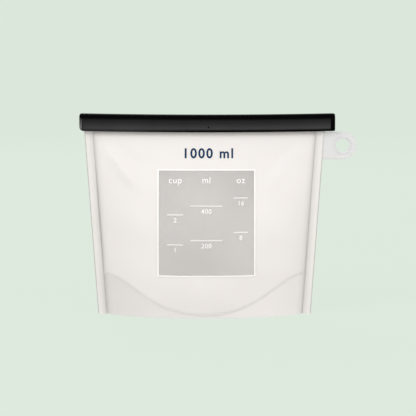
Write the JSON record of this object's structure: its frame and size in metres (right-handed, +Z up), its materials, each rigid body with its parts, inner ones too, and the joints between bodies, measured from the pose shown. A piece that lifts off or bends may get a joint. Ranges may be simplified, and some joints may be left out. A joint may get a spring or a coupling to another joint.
{
  "type": "reusable silicone bag",
  "caption": "Stand-up frosted silicone pouch with a clear window, raised measuring scale, folded mouth, slide-on sealing bar and hang tab.",
  "frame": {"origin": "on the ground, midway between the front and back walls and between the side seams", "axes": "+Z up, +X along the sealing bar towards its open end and the hang tab, -Y towards the front with the window"},
  "size_m": [0.2498, 0.0626, 0.1825],
  "materials": {
    "frosted_silicone": "satin",
    "seam_silicone": "satin",
    "clear_silicone": "gloss",
    "raised_silicone": "satin",
    "navy_ink": "satin",
    "black_plastic": "satin"
  },
  "bodies": {
    "pouch": {"front_panel": "frosted_silicone", "back_panel": "frosted_silicone", "bottom_gusset": "frosted_silicone", "left_side_seam": "seam_silicone", "right_side_seam": "seam_silicone", "front_window": "clear_silicone", "window_border": "raised_silicone", "cups_scale": "raised_silicone", "millilitre_scale": "raised_silicone", "ounce_scale": "raised_silicone", "capacity_print": "navy_ink", "front_gusset_weld": "frosted_silicone", "back_gusset_weld": "frosted_silicone"},
    "slider": {"slider_channel": "black_plastic", "slider_end_cap": "black_plastic"},
    "mouth_lip": {"front_fold": "frosted_silicone", "back_fold": "frosted_silicone", "front_lip": "frosted_silicone", "back_lip": "frosted_silicone", "lip_rim": "frosted_silicone"},
    "hang_tab_body": {"hang_tab": "frosted_silicone", "hang_ring": "frosted_silicone"}
  },
  "joints": [
    {"name": "slider_travel", "type": "slide", "parent": "pouch", "child": "slider", "axis": [-1, 0, 0], "range_m": [0, 0.23]},
    {"name": "mouth_unfold", "type": "hinge", "parent": "pouch", "child": "mouth_lip", "pos_m": [0, 0.0016, 0.1764], "axis": [1, 0, 0], "range_deg": [0, 180], "deforming": ["front_fold", "back_fold", "front_lip", "back_lip", "lip_rim"]},
    {"name": "tab_flex", "type": "hinge", "parent": "pouch", "child": "hang_tab_body", "pos_m": [0.10882, 0, 0.1536], "axis": [0.069, 0, 0.9976], "range_deg": [-80, 80], "stiffness_Nm_per_rad": 0.005}
  ],
  "couplings": [
    {"joint": "mouth_unfold", "follows": "slider_travel", "rad_per_m": 13.65}
  ]
}
